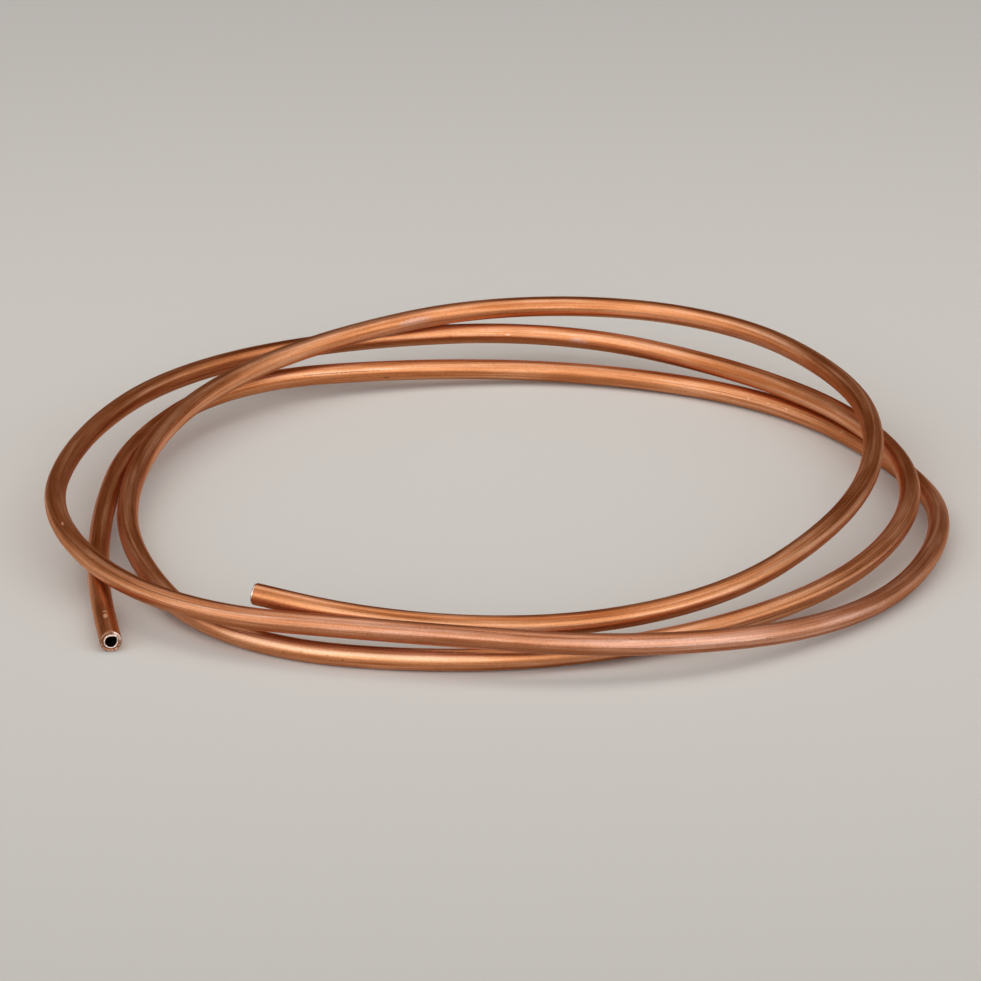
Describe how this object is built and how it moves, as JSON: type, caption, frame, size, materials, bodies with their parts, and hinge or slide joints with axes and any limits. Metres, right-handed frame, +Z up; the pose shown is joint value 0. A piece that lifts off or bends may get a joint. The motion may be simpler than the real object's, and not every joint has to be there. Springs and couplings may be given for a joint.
{
  "type": "copper tube coil",
  "caption": "Loose open coil of soft drawn copper tube lying flat, its turns crossing over each other, with an open end at each tip cut square by a wheel cutter.",
  "frame": {"origin": "on the floor, under the middle of the box around the coil", "axes": "+Z up from the floor; the coil lies in X and Y, seen in the picture from -Y with +X to the right"},
  "size_m": [0.339, 0.347, 0.0302],
  "materials": {
    "copper": null
  },
  "bodies": {
    "root": {"copper_tube": "copper"}
  },
  "joints": []
}
